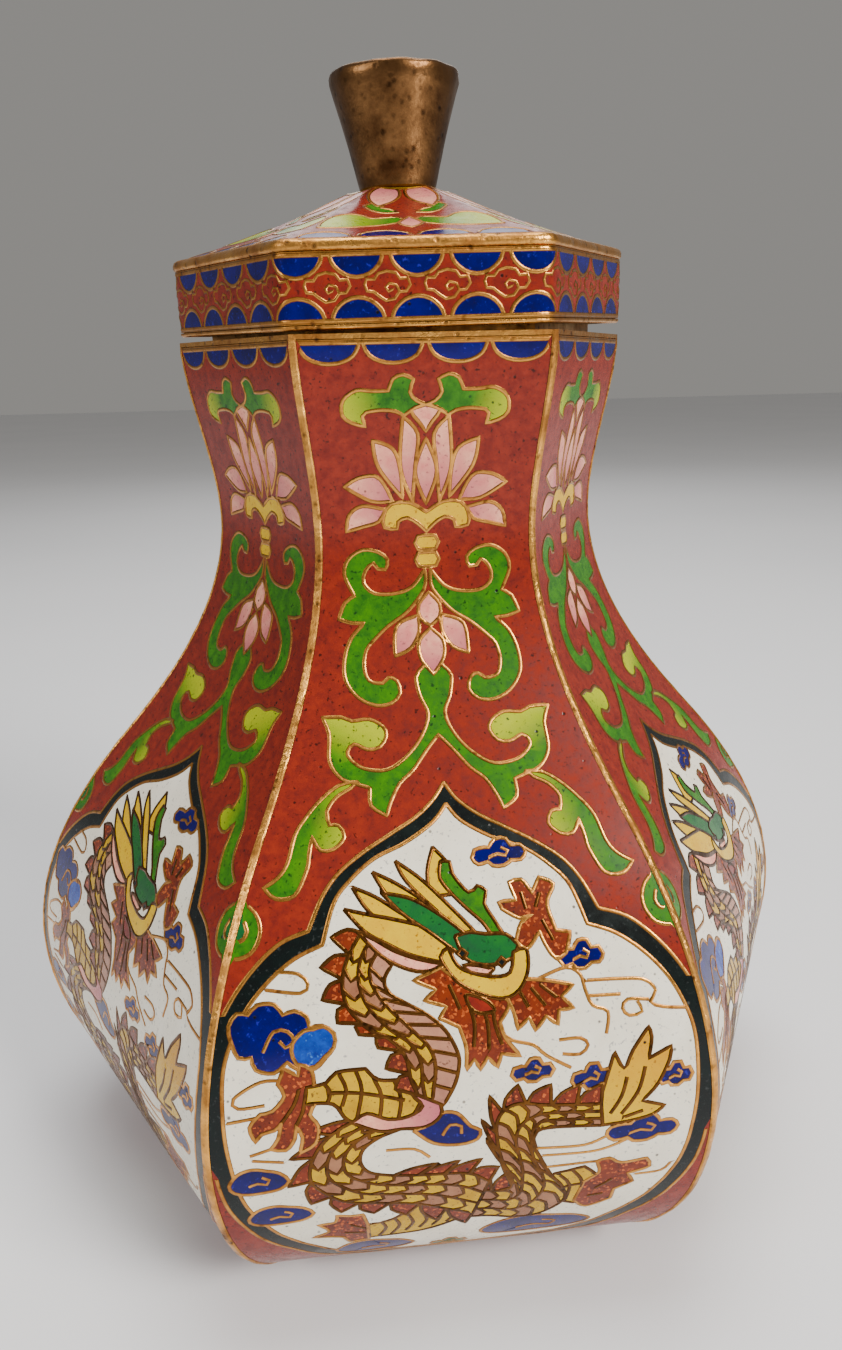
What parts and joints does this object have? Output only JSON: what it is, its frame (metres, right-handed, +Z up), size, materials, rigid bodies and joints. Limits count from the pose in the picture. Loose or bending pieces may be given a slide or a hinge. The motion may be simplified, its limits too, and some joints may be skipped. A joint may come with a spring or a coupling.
{
  "type": "six-sided lidded cloisonne enamel jar",
  "caption": "Six-sided bulbous cloisonne enamel box with a narrow neck, an inner collar, a low roofed lift-off lid and a trumpet knob.",
  "frame": {"origin": "middle of the underside of the foot ring, on the surface that the jar stands on", "axes": "+Z up along the jar's axis; corners point along +X and -X; the front face looks along -Y"},
  "size_m": [0.108, 0.094, 0.1385],
  "materials": {
    "vessel_enamel": "polished vermilion cloisonne enamel on copper, with brass wires and white dragon panels",
    "collar_brass": "plain rolled brass strip, dull",
    "lid_enamel": "polished vermilion cloisonne enamel on copper, with brass wires",
    "knob_brass": "turned brass with brown patina and worn bright edges"
  },
  "bodies": {
    "root": {"vessel": "vessel_enamel", "collar": "collar_brass", "lid": "lid_enamel", "knob": "knob_brass"}
  },
  "joints": []
}
